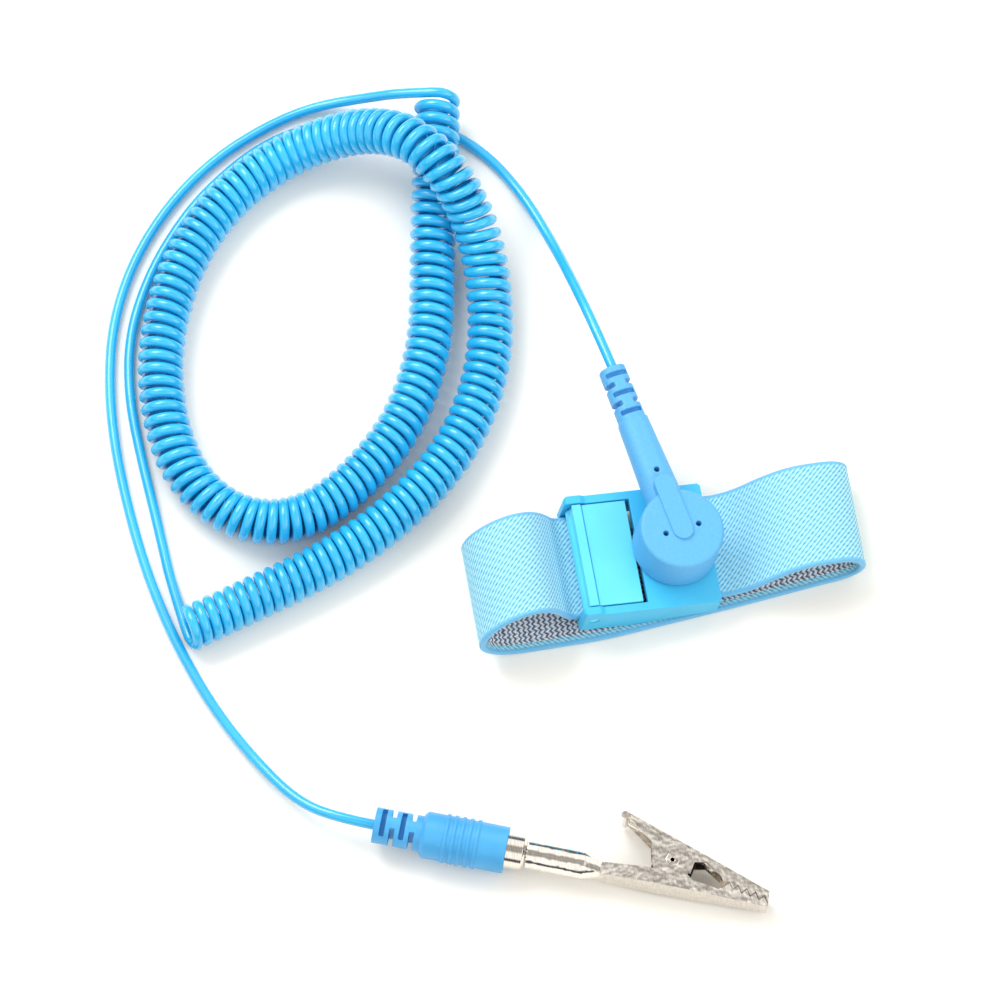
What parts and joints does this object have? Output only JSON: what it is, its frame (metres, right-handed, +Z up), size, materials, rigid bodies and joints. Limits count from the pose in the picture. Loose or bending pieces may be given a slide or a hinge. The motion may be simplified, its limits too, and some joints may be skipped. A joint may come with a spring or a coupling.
{
  "type": "esd wrist strap",
  "caption": "Anti-static wrist strap: elastic loop with lever buckle and snap stud, snap head with resistor, curly grounding cord, banana plug and crocodile clip.",
  "frame": {"origin": "on the surface that the loop rests on, under the middle of the snap stud", "axes": "+X along the flattened elastic loop from the lever end to the stud end, +Y away from the plug across the band, +Z up"},
  "size_m": [0.1385, 0.1787, 0.0215],
  "materials": {
    "knit_band": "elastic knit, diagonal darts, conductive yarn inside",
    "buckle_plastic": "moulded ABS, fine satin",
    "lever_plastic": "moulded ABS, smooth",
    "nickel_steel": "nickel-plated pressing",
    "stainless": "brushed stainless sheet",
    "head_vinyl": "moulded flexible vinyl, fine texture",
    "core_plastic": "moulded polypropylene",
    "spring_steel": "bright spring steel",
    "resistor_lacquer": "lacquered carbon film",
    "tinned_copper": "tinned copper",
    "cord_vinyl": "extruded vinyl, glossy",
    "boot_vinyl": "moulded flexible vinyl",
    "nickel_brass": "nickel-plated turned brass",
    "clip_steel": "nickel-plated pressed steel"
  },
  "bodies": {
    "wristband": {"elastic_band": "knit_band", "buckle_base": "buckle_plastic", "snap_stud": "nickel_steel", "stud_rivet": "nickel_steel", "contact_plate": "stainless"},
    "lever": {"lock_lever": "lever_plastic"},
    "snap_ring": {"snap_spring": "spring_steel"},
    "cord_set": {"head_overmould": "head_vinyl", "inner_core": "core_plastic", "snap_socket": "nickel_steel", "series_resistor": "resistor_lacquer", "resistor_leads": "tinned_copper", "crimp_ferrule": "tinned_copper", "head_conductor": "tinned_copper", "cord_head_lead": "cord_vinyl", "cord_coil": "cord_vinyl", "cord_plug_lead": "cord_vinyl", "plug_boot": "boot_vinyl", "banana_body": "nickel_brass", "plug_conductor": "tinned_copper"},
    "leaf_cage": {"plug_spring": "spring_steel"},
    "clip": {"clip_lower_jaw": "clip_steel", "clip_rivet": "clip_steel", "clip_spring": "spring_steel"},
    "clip_jaw": {"clip_upper_jaw": "clip_steel"}
  },
  "joints": [
    {"name": "lever_open", "type": "hinge", "parent": "wristband", "child": "lever", "pos_m": [-0.01778, 0, 0.00718], "axis": [0, -1, 0], "range_deg": [0, 75]},
    {"name": "unsnap", "type": "slide", "parent": "wristband", "child": "snap_ring", "axis": [0.1564, 0, 0.9877], "range_m": [0, 0.008]},
    {"name": "snap_swivel", "type": "hinge", "parent": "snap_ring", "child": "cord_set", "pos_m": [0, 0, 0.0076], "axis": [0.1564, 0, 0.9877], "range_deg": [-60, 10]},
    {"name": "clip_spin", "type": "hinge", "parent": "cord_set", "child": "leaf_cage", "pos_m": [-0.03849, -0.05564, 0.00452], "axis": [0.9331, -0.3582, -0.0314], "continuous": true},
    {"name": "clip_pull", "type": "slide", "parent": "leaf_cage", "child": "clip", "axis": [0.9331, -0.3582, -0.0314], "range_m": [0, 0.012]},
    {"name": "jaw_open", "type": "hinge", "parent": "clip", "child": "clip_jaw", "pos_m": [-0.0117, -0.06228, 0.00366], "axis": [0.0293, -0.0113, 0.9995], "range_deg": [0, 25], "stiffness_Nm_per_rad": 0.02, "springref_deg": -34.38}
  ]
}
